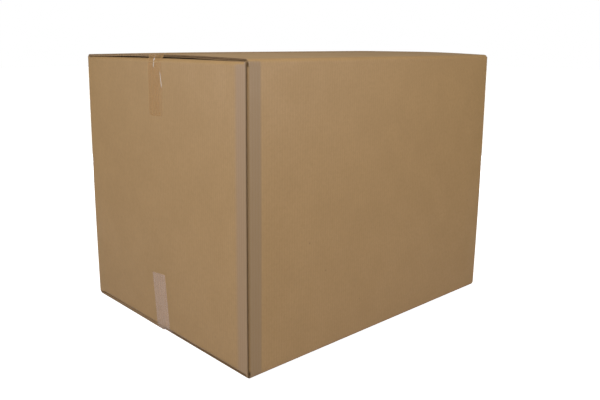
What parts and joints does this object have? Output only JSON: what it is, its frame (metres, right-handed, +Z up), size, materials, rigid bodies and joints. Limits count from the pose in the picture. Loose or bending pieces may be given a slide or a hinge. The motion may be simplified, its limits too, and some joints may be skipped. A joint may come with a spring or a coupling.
{
  "type": "double-wall corrugated box",
  "caption": "Large closed slotted carton of double-wall corrugated board, taped with clear packing tape along its top and bottom seams.",
  "frame": {"origin": "under the middle of the bottom, at the level the box stands on", "axes": "+X along the long side, +Y across the ends, +Z up; the end panel with the visible tape tails faces -X"},
  "size_m": [0.7628, 0.592, 0.5941],
  "materials": {
    "kraft_board": "plain brown kraft liner, matt, with faint flute lines",
    "clear_tape": "clear polypropylene packing tape that lets the board show through"
  },
  "bodies": {
    "root": {"carton": "kraft_board", "top_tape": "clear_tape", "bottom_tape": "clear_tape"}
  },
  "joints": []
}
